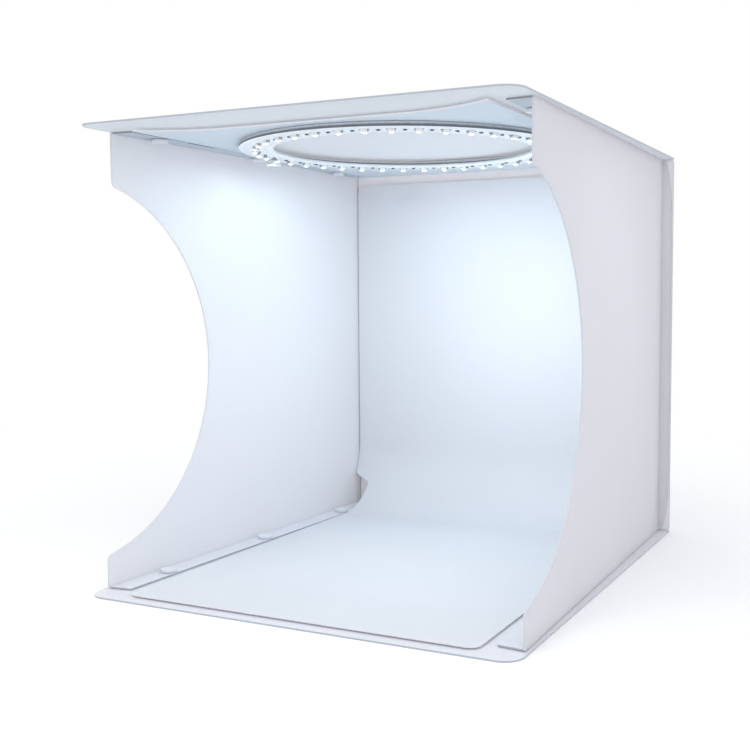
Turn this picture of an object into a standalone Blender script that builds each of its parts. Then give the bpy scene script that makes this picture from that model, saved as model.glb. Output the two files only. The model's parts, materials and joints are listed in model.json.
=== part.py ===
"""Foldable tabletop light tent: creased sheet walls, a roof window and a ring light.

The frame has its origin at the middle of the underside of the floor sheet, +X to the
right, +Y to the back and +Z up. All lengths are metres.
"""

from math import acos, asin, cos, pi, sin, sqrt

import bmesh
import bpy
from mathutils import Matrix, Vector

# Overall size of the standing tent
WIDTH = 0.240
DEPTH = 0.276
HEIGHT = 0.243

# Sheet and clearance
SHEET = 0.0008
GAP = 0.0003
FRONT_CORNER = 0.0100
REAR_CORNER = 0.0020

# Side sheets
SIDE_REAR_INSET = 0.0070
SIDE_FRONT_INSET = 0.0020
SIDE_SETBACK = 0.0235
SIDE_LOW_AHEAD = 0.0095
CUT_FLOOR_MARGIN = 0.0204
CUT_ROOF_MARGIN = 0.0292
CUT_AHEAD = 0.0225
CUT_FILLET = 0.0040
SIDE_CORNER = 0.0015

# Rear flanges of the side sheets
FLANGE_MARGIN = 0.0008
FLANGE_TAPER = 0.0360
FLANGE_TIP = 0.0012

# Flaps of the side sheets, and what fastens them
FLAP_WIDTH = 0.0125
FLAP_REAR_START = 0.0060
FLAP_FRONT_END = 0.0010
FLAP_FRONT_SLANT = 0.0015
FLAP_REAR_SLANT = 0.0060
CORD_NOTCH_LENGTH = 0.0240
CORD_NOTCH_DEPTH = 0.0016
CORD_NOTCH_SLANT = 0.0010
CORD_NOTCH_FROM_FRONT = 0.0585
MAGNET_COUNT = 3
MAGNET_FROM_FRONT = 0.0285
MAGNET_FROM_REAR = 0.0400
MAGNET_FROM_CREASE = 0.0075
MAGNET_RADIUS = 0.0032
MAGNET_THICKNESS = 0.0008
CUP_WALL = 0.0010
CUP_ROOF = 0.0004
DISC_RADIUS = 0.0036

# Camera window in the roof, measured from the ring light's inner edge
WINDOW_OUTSIDE_RING = 0.0165
WINDOW_CREASE_IN = 0.0081
WINDOW_RIM = 0.0100

# Light board and the adhesive strips above it
TAPE = 0.0005
TAPE_WIDTH = 0.0060
TAPE_LENGTH = 0.1500
TAPE_FROM_EDGE = 0.0010
BOARD_CLEARANCE = 0.0008
BOARD_FRONT_RIM = 0.0052
BOARD_HORN = 0.0150
BOARD_HORN_WIDTH = 0.0500
BOARD_REAR_CLEARANCE = 0.0080
BOARD_CORNER = 0.0040

# Ring light
RING_AHEAD = 0.0070
RING_MARGIN = 0.0063
RING_WIDTH = 0.0189
RING_BOARD = 0.0012
FOAM = 0.0010
FOAM_INSET = 0.0008
FOAM_WIDTH = 0.0080
LED_FROM_RIM = 0.0085
LED_COUNT = 39
LED_LENGTH = 0.0035
LED_BREADTH = 0.0028
LED_HEIGHT = 0.0018
LED_LENS_INSET = 0.0005
LED_LENS_RISE = 0.0003
RESISTOR_IN = 0.0018
RESISTOR_LENGTH = 0.0020
RESISTOR_BREADTH = 0.0013
RESISTOR_HEIGHT = 0.0006
SOLDER_SEAT = 0.0003

# Low-voltage inlet on the ring
SOCKET_DEPTH = 0.0055
SOCKET_WIDTH = 0.0080
SOCKET_HEIGHT = 0.0034
SOCKET_WALL = 0.0007
SOCKET_FLOOR = 0.0012
SOCKET_EDGE = 0.0008
PIN_SIDE = 0.0006
PIN_LENGTH = 0.0036
PIN_PITCH = 0.0020

# Backdrop sheet
DROP_THICKNESS = 0.0005
DROP_FLAP_CLEARANCE = 0.0008
DROP_SIDE_CLEARANCE = 0.0010
DROP_CURVE = 0.0450
DROP_SHOULDER_HEIGHT = 0.0175
DROP_SHOULDER = 0.0090
DROP_FROM_FRONT = 0.0070
DROP_FROM_TOP = 0.0080
DROP_CORNER = 0.0060
PAD_THICKNESS = 0.0010
PAD_WIDTH = 0.0200
PAD_HEIGHT = 0.0100
PAD_SPREAD = 0.0650
PAD_DROP = 0.0040

# Facets of the round shapes
CORNER_STEPS = 8
CUT_STEPS = 40
WINDOW_STEPS = 64
RING_STEPS = 72
DISC_STEPS = 20
CURVE_STEPS = 14
CUTTER_OVERRUN = 0.0020
MERGE = 0.00001

# Heights of the layers under the roof, from the top down
ROOF_UNDER = HEIGHT - SHEET
TAPE_TOP = ROOF_UNDER - GAP
BOARD_TOP = TAPE_TOP - TAPE - GAP
FOAM_TOP = BOARD_TOP - SHEET - GAP
RING_TOP = FOAM_TOP - FOAM - GAP
RING_UNDER = RING_TOP - RING_BOARD
SOCKET_TOP = RING_UNDER - GAP

# Depths of the layers in front of the back sheet
REAR_EDGE = DEPTH / 2
FRONT_EDGE = -DEPTH / 2
BACK_INNER = REAR_EDGE - SHEET
FLANGE_FRONT = BACK_INNER - GAP - SHEET
PAD_FRONT = BACK_INNER - GAP - PAD_THICKNESS
DROP_FRONT = PAD_FRONT - GAP - DROP_THICKNESS

# Side sheet in its own frame: forward from the rear crease, and up
SIDE_LENGTH = FLANGE_FRONT - FRONT_EDGE - SIDE_SETBACK
SIDE_LOW = SHEET + GAP
SIDE_HIGH = HEIGHT - SHEET - GAP
CREASE_X = WIDTH / 2 - SIDE_REAR_INSET
SPLAY = asin((SIDE_REAR_INSET - SIDE_FRONT_INSET) / SIDE_LENGTH)

# Round cut-out of the side sheets, from what is left above and below it over their upper front end
CUT_HALF = (HEIGHT - CUT_FLOOR_MARGIN - CUT_ROOF_MARGIN) / 2
CUT_HEIGHT = CUT_FLOOR_MARGIN + CUT_HALF
CUT_RADIUS = sqrt(CUT_HALF ** 2 + CUT_AHEAD ** 2)

# Half widths of what lies between the flaps, and the ring and window that follow them.
# The window's chord is measured from the ring's middle, which is ahead of the tent's middle.
FLAP_INNER = CREASE_X - SHEET - GAP - FLAP_WIDTH
BOARD_HALF_WIDTH = FLAP_INNER - BOARD_CLEARANCE
RING_OUTER = BOARD_HALF_WIDTH - RING_MARGIN
RING_INNER = RING_OUTER - RING_WIDTH
LED_CIRCLE = RING_OUTER - LED_FROM_RIM
WINDOW_RADIUS = RING_INNER + WINDOW_OUTSIDE_RING
WINDOW_CHORD = WINDOW_RADIUS - WINDOW_CREASE_IN
RING_MIDDLE = (0, -RING_AHEAD)
BOARD_FRONT = RING_AHEAD + RING_OUTER + BOARD_FRONT_RIM
BOARD_REAR = DROP_FRONT - BOARD_REAR_CLEARANCE
DROP_NARROW = FLAP_INNER - DROP_FLAP_CLEARANCE
DROP_WIDE = CREASE_X - SHEET - DROP_SIDE_CLEARANCE

SIDES = (("left", -1), ("right", 1))
LEVELS = (("top", True), ("bottom", False))


def clear_scene():
    """Removes whatever the startup scene holds."""
    for obj in list(bpy.data.objects):
        bpy.data.objects.remove(obj)


def material(name, colour, roughness, metallic=0.0):
    """A Principled material with one colour."""
    made = bpy.data.materials.new(name)
    made.use_nodes = True
    shader = made.node_tree.nodes["Principled BSDF"]
    shader.inputs["Base Color"].default_value = (*colour, 1.0)
    shader.inputs["Roughness"].default_value = roughness
    shader.inputs["Metallic"].default_value = metallic
    return made


def all_finishes():
    """Every material of the tent, by a plain name."""
    return {
        "sheet": material("white_sheet", (0.86, 0.87, 0.90), 0.45),
        "backdrop": material("backdrop_white", (0.90, 0.91, 0.92), 0.60),
        "steel": material("plated_steel", (0.62, 0.63, 0.65), 0.30, 1.0),
        "magnet": material("magnet_nickel", (0.70, 0.70, 0.69), 0.22, 1.0),
        "cup": material("white_cup", (0.84, 0.85, 0.88), 0.35),
        "tape": material("tape_white", (0.85, 0.84, 0.80), 0.70),
        "foam": material("foam_grey", (0.10, 0.10, 0.11), 0.95),
        "board": material("board_white", (0.88, 0.90, 0.90), 0.40),
        "socket": material("socket_dark", (0.08, 0.08, 0.09), 0.45),
        "pin": material("pin_brass", (0.80, 0.65, 0.35), 0.30, 1.0),
        "pad": material("pad_white", (0.80, 0.80, 0.80), 0.95),
    }


def arc(centre, radius, start, end, steps):
    """Points on a circle from one angle to another, both ends included."""
    turn = (end - start) / steps
    return [
        (centre[0] + radius * cos(start + turn * i), centre[1] + radius * sin(start + turn * i))
        for i in range(steps + 1)
    ]


def circle(centre, radius, steps):
    """Points all round a circle."""
    return arc(centre, radius, 0, 2 * pi, steps)[:-1]


def rounded_box(low, high, radii=(0, 0, 0, 0), steps=CORNER_STEPS):
    """Outline of a rectangle, anticlockwise from its low corner, with a radius for each corner."""
    corners = [(low[0], low[1]), (high[0], low[1]), (high[0], high[1]), (low[0], high[1])]
    points = []
    for i, (corner, radius) in enumerate(zip(corners, radii)):
        if not radius:
            points.append(corner)
            continue
        right = 1 if i in (0, 3) else -1
        upward = 1 if i in (0, 1) else -1
        centre = (corner[0] + right * radius, corner[1] + upward * radius)
        start = pi + i * pi / 2
        points += arc(centre, radius, start, start + pi / 2, steps)
    return points


def square(middle, side):
    """Outline of a square round a point."""
    half = side / 2
    return rounded_box((middle[0] - half, middle[1] - half), (middle[0] + half, middle[1] + half))


def add_object(name, shape, finish, parent=None):
    """Links a finished bmesh as a named object with its material, under a hinge if it has one."""
    mesh = bpy.data.meshes.new(name)
    shape.to_mesh(mesh)
    shape.free()
    mesh.materials.append(finish)
    obj = bpy.data.objects.new(name, mesh)
    bpy.context.scene.collection.objects.link(obj)
    obj.parent = parent
    return obj


def hinge(name, place, turn=0.0, parent=None):
    """An empty on a crease, turned about the vertical, that carries the pieces of one moving body."""
    empty = bpy.data.objects.new(name, None)
    bpy.context.scene.collection.objects.link(empty)
    empty.parent = parent
    empty.location = place
    empty.rotation_euler = (0, 0, turn)
    return empty


def extruded(loops, thickness, placed=Matrix.Identity(4)):
    """A solid from an outline and its holes in the XY plane, thickened towards +Z and then placed."""
    shape = bmesh.new()
    for loop in loops:
        points = [shape.verts.new((x, y, 0)) for x, y in loop]
        for first, second in zip(points, points[1:] + points[:1]):
            shape.edges.new((first, second))
    bmesh.ops.remove_doubles(shape, verts=shape.verts[:], dist=MERGE)
    bmesh.ops.triangle_fill(shape, use_beauty=True, use_dissolve=False, edges=shape.edges[:])
    grown = bmesh.ops.extrude_face_region(shape, geom=shape.faces[:])["geom"]
    risen = [vert for vert in grown if isinstance(vert, bmesh.types.BMVert)]
    bmesh.ops.translate(shape, verts=risen, vec=(0, 0, thickness))
    bmesh.ops.transform(shape, matrix=placed, verts=shape.verts[:])
    bmesh.ops.recalc_face_normals(shape, faces=shape.faces[:])
    return shape


def plate(name, loops, low, finish, thickness=SHEET, parent=None):
    """A level sheet whose underside is at a height in the world, kept under its hinge."""
    origin = parent.matrix_world.translation if parent else Vector((0, 0, 0))
    shape = extruded(loops, thickness, Matrix.Translation(Vector((0, 0, low)) - origin))
    return add_object(name, shape, finish, parent)


def upright(name, outline, rear, thickness, finish, parent):
    """A wall in the XZ plane whose rear face is at a depth in the world, thickened forwards."""
    stand = Matrix.Translation(Vector((0, rear, 0)) - parent.matrix_world.translation)
    shape = extruded([outline], thickness, stand @ Matrix.Rotation(pi / 2, 4, "X"))
    return add_object(name, shape, finish, parent)


def combine(obj, other, operation):
    """Cuts a second shape out of an object, or joins it on, and keeps the second one out of sight."""
    other.hide_render = True
    other.display_type = "WIRE"
    modifier = obj.modifiers.new(operation.lower(), "BOOLEAN")
    modifier.operation = operation
    modifier.solver = "EXACT"
    modifier.object = other


def plate_outline():
    """Floor and roof outline: rounded at the front, square along the rear crease."""
    low = (-WIDTH / 2, FRONT_EDGE)
    high = (WIDTH / 2, REAR_EDGE)
    return rounded_box(low, high, (FRONT_CORNER, FRONT_CORNER, 0, 0))


def magnet_stations():
    """Distances of the fasteners from the rear crease, along a side sheet."""
    first = SIDE_LENGTH - MAGNET_FROM_FRONT
    spacing = (first - MAGNET_FROM_REAR) / (MAGNET_COUNT - 1)
    return [first - spacing * i for i in range(MAGNET_COUNT)]


def side_frame(side):
    """Where a side sheet's rear crease stands, and how it is splayed."""
    place = Vector((side * (CREASE_X + GAP), FLANGE_FRONT, 0))
    return place, side * SPLAY


def disc_places(side):
    """Plan places of the discs in floor and roof, over the magnets on the flaps of one side."""
    place, turn = side_frame(side)
    across = -side * (GAP + SHEET + GAP + MAGNET_FROM_CREASE)
    spots = [place + Matrix.Rotation(turn, 4, "Z") @ Vector((across, -way, 0)) for way in magnet_stations()]
    return [(spot.x, spot.y) for spot in spots]


def disc_holes():
    """Holes in floor and roof that the discs sit in."""
    return [circle(place, DISC_RADIUS + GAP, DISC_STEPS) for _, side in SIDES for place in disc_places(side)]


def make_discs(level, low, finish, parent=None):
    """Thin round steel discs, flush with the sheet that holds them."""
    for label, side in SIDES:
        for number, place in enumerate(disc_places(side), 1):
            loops = [circle(place, DISC_RADIUS, DISC_STEPS)]
            plate(f"{label}_{level}_disc_{number}", loops, low, finish, parent=parent)


def make_floor(finishes):
    """Floor sheet and the discs set in it. It lies still, so the rest stands on it."""
    plate("base_sheet", [plate_outline()] + disc_holes(), 0, finishes["sheet"])
    make_discs("base", 0, finishes["steel"])


def make_back(finishes, back_hinge):
    """Rear wall between floor and roof, with slightly rounded corners."""
    outline = rounded_box((-WIDTH / 2, SIDE_LOW), (WIDTH / 2, SIDE_HIGH), (REAR_CORNER,) * 4)
    upright("back_sheet", outline, REAR_EDGE, SHEET, finishes["sheet"], back_hinge)


def make_rear_flange(label, side, finishes, back_hinge):
    """Strip that joins a side sheet to the back sheet, drawn in over long curved ends."""
    inner = CREASE_X - SHEET
    tip = inner + FLANGE_TIP
    reach = WIDTH / 2 - FLANGE_MARGIN - tip
    turns = [pi / 2 * i / CORNER_STEPS for i in range(CORNER_STEPS + 1)]
    low_end = [(tip + reach * sin(turn), SIDE_LOW + FLANGE_TAPER * (1 - cos(turn))) for turn in turns]
    high_end = [(x, SIDE_LOW + SIDE_HIGH - z) for x, z in reversed(low_end)]
    outline = [(inner, SIDE_LOW)] + low_end + high_end + [(inner, SIDE_HIGH)]
    placed = [(side * x, z) for x, z in outline]
    upright(f"{label}_rear_flange", placed, BACK_INNER - GAP, SHEET, finishes["sheet"], back_hinge)


def cut_end(reach):
    """Fillet centre at one end of the round cut-out, from its mid height, and how far round it runs."""
    grown = CUT_RADIUS + CUT_FILLET
    ahead = SIDE_LENGTH + CUT_AHEAD - reach + CUT_FILLET
    half = sqrt(grown ** 2 - ahead ** 2)
    return half, asin(half / grown)


def side_outline():
    """Side sheet outline, forward from the rear crease and up, with the round cut-out at its front.

    Below the cut-out the sheet reaches further forward than above it.
    """
    low_reach = SIDE_LENGTH + SIDE_LOW_AHEAD
    low_half, low_lean = cut_end(low_reach)
    high_half, high_lean = cut_end(SIDE_LENGTH)
    corners = rounded_box((GAP, SIDE_LOW), (SIDE_LENGTH, SIDE_HIGH), (0, SIDE_CORNER, SIDE_CORNER, 0))
    below = 1 + CORNER_STEPS + 1
    low_corner = [(x + SIDE_LOW_AHEAD, z) for x, z in corners[1:below]]
    low_middle = (low_reach - CUT_FILLET, CUT_HEIGHT - low_half)
    high_middle = (SIDE_LENGTH - CUT_FILLET, CUT_HEIGHT + high_half)
    low_fillet = arc(low_middle, CUT_FILLET, 0, low_lean, CORNER_STEPS)
    high_fillet = arc(high_middle, CUT_FILLET, 2 * pi - high_lean, 2 * pi, CORNER_STEPS)
    centre = (SIDE_LENGTH + CUT_AHEAD, CUT_HEIGHT)
    cut = arc(centre, CUT_RADIUS, pi + low_lean, pi - high_lean, CUT_STEPS)
    return corners[:1] + low_corner + low_fillet + cut[1:-1] + high_fillet + corners[below:]


def make_side(label, side, finishes, side_hinge):
    """Side sheet with its round cut-out, in the frame of its crease: forward is -Y and up is +Z."""
    face = Matrix.Translation((-side * GAP, 0, 0))
    turned = Matrix(((0, 0, -side, 0), (-1, 0, 0, 0), (0, 1, 0, 0), (0, 0, 0, 1)))
    sheet = extruded([side_outline()], SHEET, face @ turned)
    add_object(f"{label}_side_sheet", sheet, finishes["sheet"], side_hinge)


def flap_outline(ahead, notched):
    """Flap outline, forward along the crease and inwards, with slanted ends and a notch for a cord."""
    start = FLAP_REAR_START
    end = SIDE_LENGTH + ahead - FLAP_FRONT_END
    inner = GAP / 2
    outer = inner + FLAP_WIDTH
    points = [(start, inner), (end, inner), (end - FLAP_FRONT_SLANT, outer)]
    if notched:
        front = SIDE_LENGTH - CORD_NOTCH_FROM_FRONT + CORD_NOTCH_LENGTH / 2
        rear = front - CORD_NOTCH_LENGTH
        floor = outer - CORD_NOTCH_DEPTH
        points += [(front, outer), (front - CORD_NOTCH_SLANT, floor)]
        points += [(rear + CORD_NOTCH_SLANT, floor), (rear, outer)]
    return points + [(start + FLAP_REAR_SLANT, outer)]


def flap_crease(side, upper):
    """The crease of a flap, in the frame of its side sheet's hinge."""
    across = -side * (GAP + SHEET + GAP / 2)
    lift = SHEET + GAP / 2
    return Vector((across, 0, SIDE_HIGH - lift if upper else SIDE_LOW + lift))


def make_flap(label, side, upper, finishes, flap_hinge):
    """A flap with its magnets, each in a cup on the inner face."""
    away = 1 if upper else -1
    placed = Matrix(((0, -side, 0, 0), (-1, 0, 0, 0), (0, 0, away, 0), (0, 0, 0, 1)))
    outline = flap_outline(0 if upper else SIDE_LOW_AHEAD, upper and side < 0)
    flap_shape = extruded([outline], SHEET, placed @ Matrix.Translation((0, 0, GAP / 2)))
    add_object(f"{label}_flap", flap_shape, finishes["sheet"], flap_hinge)
    low = GAP / 2 - GAP - MAGNET_THICKNESS
    under = placed @ Matrix.Translation((0, 0, low))
    for number, station in enumerate(magnet_stations(), 1):
        spot = (station, GAP / 2 + MAGNET_FROM_CREASE)
        magnet = extruded([circle(spot, MAGNET_RADIUS, DISC_STEPS)], MAGNET_THICKNESS, under)
        add_object(f"{label}_magnet_{number}", magnet, finishes["magnet"], flap_hinge)
        cup = turned_cup(spot, low)
        bmesh.ops.transform(cup, matrix=placed, verts=cup.verts[:])
        bmesh.ops.recalc_face_normals(cup, faces=cup.faces[:])
        add_object(f"{label}_magnet_cup_{number}", cup, finishes["cup"], flap_hinge)


def turned_cup(spot, magnet_low):
    """White round cup over a magnet, open towards the flap, with a chamfer round its roof."""
    inner = MAGNET_RADIUS + GAP
    outer = inner + CUP_WALL
    rim = GAP / 2 - GAP
    under = magnet_low - GAP
    low = under - CUP_ROOF
    profile = [(0, under), (inner, under), (inner, rim), (outer, rim)]
    profile += [(outer, low + CUP_ROOF), (outer - CUP_ROOF, low), (0, low)]
    cup = bmesh.new()
    line = [cup.verts.new((spot[0] + radius, spot[1], height)) for radius, height in profile]
    edges = [cup.edges.new(pair) for pair in zip(line, line[1:])]
    around = {"cent": (*spot, 0), "axis": (0, 0, 1), "angle": 2 * pi, "steps": DISC_STEPS}
    bmesh.ops.spin(cup, geom=line + edges, use_merge=True, **around)
    bmesh.ops.remove_doubles(cup, verts=cup.verts[:], dist=MERGE)
    return cup


def window_outline(radius, chord):
    """Round outline about the ring's middle, cut straight at the rear crease."""
    rear = acos(chord / radius)
    return arc(RING_MIDDLE, radius, pi / 2 - rear, pi / 2 + rear - 2 * pi, WINDOW_STEPS)


def board_outline():
    """Light board outline: its front edge sweeps forward to a horn at either end."""
    radius = (BOARD_HORN_WIDTH ** 2 + BOARD_HORN ** 2) / (2 * BOARD_HORN)
    shoulder = BOARD_HALF_WIDTH - BOARD_HORN_WIDTH
    lean = asin(BOARD_HORN_WIDTH / radius)
    middle = -BOARD_FRONT - radius
    left = arc((-shoulder, middle), radius, pi / 2 + lean, pi / 2, CORNER_STEPS)
    right = arc((shoulder, middle), radius, pi / 2, pi / 2 - lean, CORNER_STEPS)
    low = (-BOARD_HALF_WIDTH, 0)
    rear = rounded_box(low, (BOARD_HALF_WIDTH, BOARD_REAR), (0, 0, BOARD_CORNER, BOARD_CORNER))[2:]
    return left + right + rear


def make_roof(finishes, top_hinge):
    """Roof sheet with the camera window, its discs, and the light board taped under it."""
    holes = disc_holes() + [window_outline(WINDOW_RADIUS + GAP, WINDOW_CHORD + GAP)]
    plate("top_sheet", [plate_outline()] + holes, ROOF_UNDER, finishes["sheet"], parent=top_hinge)
    make_discs("roof", ROOF_UNDER, finishes["steel"], top_hinge)
    board_window = circle(RING_MIDDLE, WINDOW_RADIUS - WINDOW_RIM, WINDOW_STEPS)
    board_loops = [board_outline(), board_window]
    plate("light_board", board_loops, BOARD_TOP - SHEET, finishes["sheet"], parent=top_hinge)
    for label, side in SIDES:
        outer = side * (BOARD_HALF_WIDTH - TAPE_FROM_EDGE)
        inner = outer - side * TAPE_WIDTH
        strip = rounded_box((min(outer, inner), -TAPE_LENGTH / 2), (max(outer, inner), TAPE_LENGTH / 2))
        plate(f"{label}_board_tape", [strip], TAPE_TOP - TAPE, finishes["tape"], TAPE, top_hinge)


def make_window_flap(finishes, window_hinge):
    """Round flap that lies in the roof sheet and opens upwards about its rear crease."""
    outline = window_outline(WINDOW_RADIUS, WINDOW_CHORD)
    plate("window_flap", [outline], ROOF_UNDER, finishes["sheet"], parent=window_hinge)


def make_ring(finishes, top_hinge):
    """Foam ring, and the circuit board with its lamps and resistors soldered on."""
    foam_outer = RING_OUTER - FOAM_INSET
    foam = [circle(RING_MIDDLE, radius, RING_STEPS) for radius in (foam_outer, foam_outer - FOAM_WIDTH)]
    plate("ring_foam", foam, FOAM_TOP - FOAM, finishes["foam"], FOAM, top_hinge)
    loops = [circle(RING_MIDDLE, radius, RING_STEPS) for radius in (RING_OUTER, RING_INNER)]
    board = plate("ring_board", loops, RING_UNDER, finishes["board"], RING_BOARD, top_hinge)
    pitch = 2 * pi / LED_COUNT
    middle = Vector((*RING_MIDDLE, 0)) - top_hinge.matrix_world.translation
    chips = bmesh.new()
    lamp_size = (LED_BREADTH, LED_LENGTH, LED_HEIGHT)
    resistor_size = (RESISTOR_BREADTH, RESISTOR_LENGTH, RESISTOR_HEIGHT)
    for number in range(LED_COUNT):
        angle = pi / 2 + pitch * number
        raise_lens(chips, soldered_block(chips, angle, LED_CIRCLE, lamp_size, middle))
        soldered_block(chips, angle + pitch / 2, LED_CIRCLE - RESISTOR_IN, resistor_size, middle)
    bmesh.ops.recalc_face_normals(chips, faces=chips.faces[:])
    combine(board, add_object("ring_chips", chips, finishes["board"], top_hinge), "UNION")


def soldered_block(shape, angle, radius, size, middle):
    """A small block under the ring board, its top sunk by its solder, and its lowest face."""
    stretch = Matrix.Diagonal((size[0], size[1], size[2] + SOLDER_SEAT, 1))
    out = Matrix.Translation((radius, 0, RING_UNDER + (SOLDER_SEAT - size[2]) / 2))
    placed = Matrix.Translation(middle) @ Matrix.Rotation(angle, 4, "Z") @ out @ stretch
    block = bmesh.ops.create_cube(shape, size=1, matrix=placed)
    faces = {face for vert in block["verts"] for face in vert.link_faces}
    return min(faces, key=lambda face: face.calc_center_median().z)


def raise_lens(shape, face):
    """Draws the lower face of a lamp in, and down to its lens."""
    bmesh.ops.inset_region(shape, faces=[face], thickness=LED_LENS_INSET)
    bmesh.ops.translate(shape, verts=face.verts[:], vec=(0, 0, -LED_LENS_RISE))


def make_inlet(finishes, top_hinge):
    """Low-voltage inlet under the left end of the ring, its mouth to the left, with two pins."""
    origin = top_hinge.matrix_world.translation - Vector((*RING_MIDDLE, 0))
    facing = Matrix(((0, 0, -1, 0), (-1, 0, 0, 0), (0, 1, 0, 0), (0, 0, 0, 1)))
    rear = -RING_OUTER + SOCKET_EDGE + SOCKET_DEPTH
    low = SOCKET_TOP - SOCKET_HEIGHT
    half = SOCKET_WIDTH / 2
    outer = rounded_box((-half, low), (half, SOCKET_TOP))
    wide = half - SOCKET_WALL
    inner = rounded_box((-wide, low + SOCKET_WALL), (wide, SOCKET_TOP - SOCKET_WALL))
    shell = extruded([outer], SOCKET_DEPTH, Matrix.Translation(Vector((rear, 0, 0)) - origin) @ facing)
    socket = add_object("inlet_socket", shell, finishes["socket"], top_hinge)
    floor = Matrix.Translation(Vector((rear - SOCKET_FLOOR, 0, 0)) - origin) @ facing
    mouth = extruded([inner], SOCKET_DEPTH - SOCKET_FLOOR + CUTTER_OVERRUN, floor)
    combine(socket, add_object("inlet_mouth", mouth, finishes["socket"], top_hinge), "DIFFERENCE")
    seat = Matrix.Translation(Vector((rear - SOCKET_FLOOR - GAP, 0, 0)) - origin) @ facing
    for name, way in (("front", 1), ("rear", -1)):
        outline = square((way * PIN_PITCH / 2, SOCKET_TOP - SOCKET_HEIGHT / 2), PIN_SIDE)
        add_object(f"inlet_pin_{name}", extruded([outline], PIN_LENGTH, seat), finishes["pin"], top_hinge)


def drop_rows():
    """Depth, height and half width of the backdrop's front face, from its front edge to its top.

    It lies between the flaps on the floor, and widens over a shoulder to fill the rear wall.
    """
    floor = SHEET + GAP + DROP_THICKNESS
    front = FRONT_EDGE + DROP_FROM_FRONT
    top = HEIGHT - DROP_FROM_TOP
    bend = (DROP_FRONT - DROP_CURVE, floor + DROP_CURVE)
    low_turn = acos(1 - (DROP_SHOULDER_HEIGHT - floor) / DROP_CURVE) - pi / 2
    high_turn = low_turn + DROP_SHOULDER / DROP_CURVE
    turns = [pi / 2 * i / CORNER_STEPS for i in range(CORNER_STEPS + 1)]
    corners = [(DROP_CORNER * (1 - cos(turn)), DROP_CORNER * (1 - sin(turn))) for turn in turns]
    rows = [(front + way, floor, DROP_NARROW - drawn_in) for way, drawn_in in corners]
    rows += [(*point, DROP_NARROW) for point in arc(bend, DROP_CURVE, -pi / 2, low_turn, CURVE_STEPS // 2)]
    shoulder = arc(bend, DROP_CURVE, low_turn, high_turn, CORNER_STEPS)
    for number, point in enumerate(shoulder[1:], 1):
        grown = (1 - cos(pi * number / CORNER_STEPS)) / 2
        rows.append((*point, DROP_NARROW + (DROP_WIDE - DROP_NARROW) * grown))
    rows += [(*point, DROP_WIDE) for point in arc(bend, DROP_CURVE, high_turn, 0, CURVE_STEPS // 2)[1:]]
    rows += [(DROP_FRONT, top - way, DROP_WIDE - drawn_in) for way, drawn_in in reversed(corners)]
    return rows


def make_backdrop(finishes, back_hinge):
    """White sheet that hangs on the back, sweeps forward and lies on the floor, and its pads."""
    origin = back_hinge.matrix_world.translation
    shape = bmesh.new()
    rows = []
    for y, z, half in drop_rows():
        rows.append([shape.verts.new(Vector((side * half, y, z)) - origin) for side in (-1, 1)])
    for first, second in zip(rows, rows[1:]):
        shape.faces.new((first[0], first[1], second[1], second[0]))
    sheet = add_object("backdrop_sheet", shape, finishes["backdrop"], back_hinge)
    thicken = sheet.modifiers.new("thickness", "SOLIDIFY")
    thicken.thickness = DROP_THICKNESS
    thicken.offset = -1
    thicken.use_even_offset = True
    high = HEIGHT - DROP_FROM_TOP - PAD_DROP
    for label, side in SIDES:
        left = side * PAD_SPREAD - PAD_WIDTH / 2
        pad = rounded_box((left, high - PAD_HEIGHT), (left + PAD_WIDTH, high))
        upright(f"{label}_backdrop_pad", pad, BACK_INNER - GAP, PAD_THICKNESS, finishes["pad"], back_hinge)


def make_hinges():
    """The creases that everything above the floor turns on, by name."""
    back = hinge("back_hinge", (0, REAR_EDGE + GAP / 2, SHEET + GAP / 2))
    top = hinge("top_hinge", (0, 0, SIDE_HIGH - SHEET), parent=back)
    window_place = (0, WINDOW_CHORD - RING_AHEAD - REAR_EDGE, SHEET + GAP)
    hinges = {"back": back, "top": top, "window": hinge("window_hinge", window_place, parent=top)}
    for label, side in SIDES:
        place, turn = side_frame(side)
        hinges[label] = hinge(f"{label}_side_hinge", place - back.location, turn, back)
        for level, upper in LEVELS:
            name = f"{label}_{level}"
            hinges[name] = hinge(f"{name}_hinge", flap_crease(side, upper), parent=hinges[label])
    return hinges


def main():
    clear_scene()
    finishes = all_finishes()
    hinges = make_hinges()
    bpy.context.view_layer.update()
    make_floor(finishes)
    make_back(finishes, hinges["back"])
    make_backdrop(finishes, hinges["back"])
    make_roof(finishes, hinges["top"])
    make_window_flap(finishes, hinges["window"])
    make_ring(finishes, hinges["top"])
    make_inlet(finishes, hinges["top"])
    for label, side in SIDES:
        make_rear_flange(label, side, finishes, hinges["back"])
        make_side(label, side, finishes, hinges[label])
        for level, upper in LEVELS:
            make_flap(f"{label}_{level}", side, upper, finishes, hinges[f"{label}_{level}"])


main()
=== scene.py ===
"""Finishes the folding light tent: its sheets, backdrop, ring light, fastenings and a plain studio."""
import json
from contextlib import contextmanager
from math import acos, cos, hypot, pi, radians, sin

import bmesh
import bpy
from bpy.props import FloatProperty, FloatVectorProperty, IntProperty, PointerProperty
from mathutils import Matrix, Vector


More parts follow.
